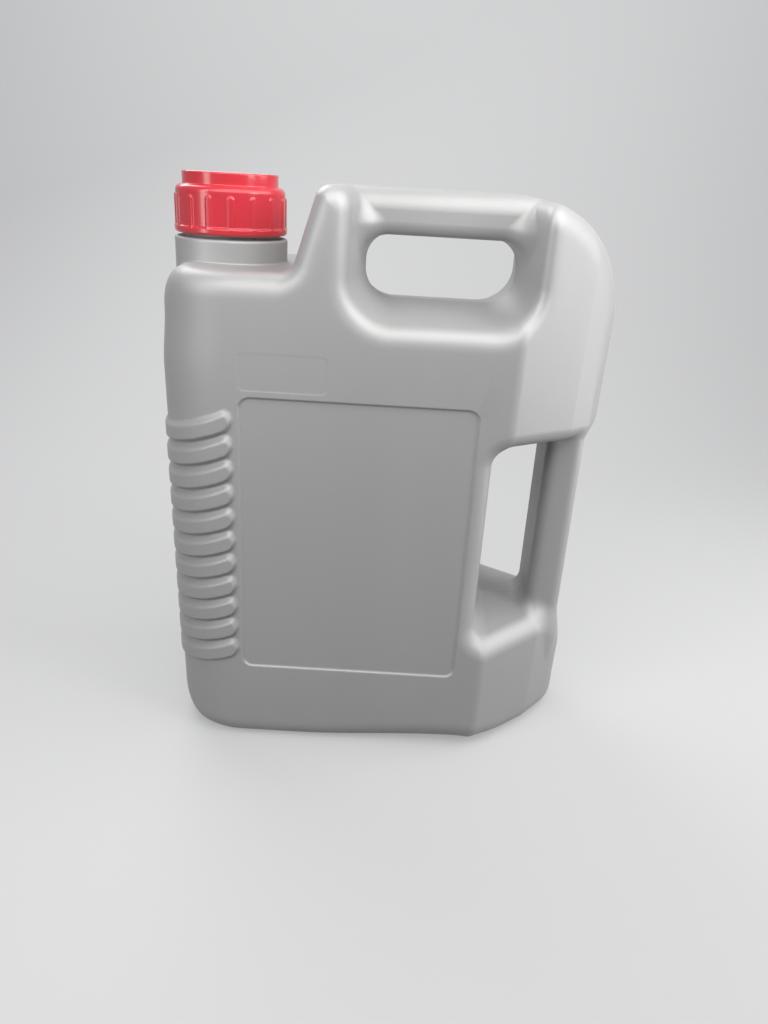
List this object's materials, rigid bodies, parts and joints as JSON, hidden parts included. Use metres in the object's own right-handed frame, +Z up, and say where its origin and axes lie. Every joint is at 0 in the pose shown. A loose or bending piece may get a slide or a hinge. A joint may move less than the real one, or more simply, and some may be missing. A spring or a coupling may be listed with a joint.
{
  "type": "plastic jerrycan",
  "caption": "Flat blow-moulded jerrycan with a carrying handle on top, a rear pouring grip, side grip ribs, a shallow label panel and a ribbed screw cap.",
  "frame": {"origin": "on the floor, under the middle of the can's overall width and depth", "axes": "+X across the label face towards the rear grip, +Y through the depth with the pictured face at -Y, +Z up"},
  "size_m": [0.2345, 0.1176, 0.2945],
  "materials": {
    "silver_polyethylene": "satin",
    "red_polypropylene": "gloss",
    "white_foam": "matte"
  },
  "bodies": {
    "can": {"body": "silver_polyethylene"},
    "seal": {"cap_liner": "white_foam"},
    "cap": {"cap": "red_polypropylene"}
  },
  "joints": [
    {"name": "cap_rise", "type": "slide", "parent": "can", "child": "seal", "axis": [0, 0, 1], "range_m": [0, 0.01]},
    {"name": "cap_turn", "type": "hinge", "parent": "seal", "child": "cap", "pos_m": [-0.08198, 0, 0.28], "axis": [0, 0, 1], "range_deg": [0, 720]}
  ],
  "couplings": [
    {"joint": "cap_rise", "follows": "cap_turn", "m_per_rad": 0.00079577}
  ]
}
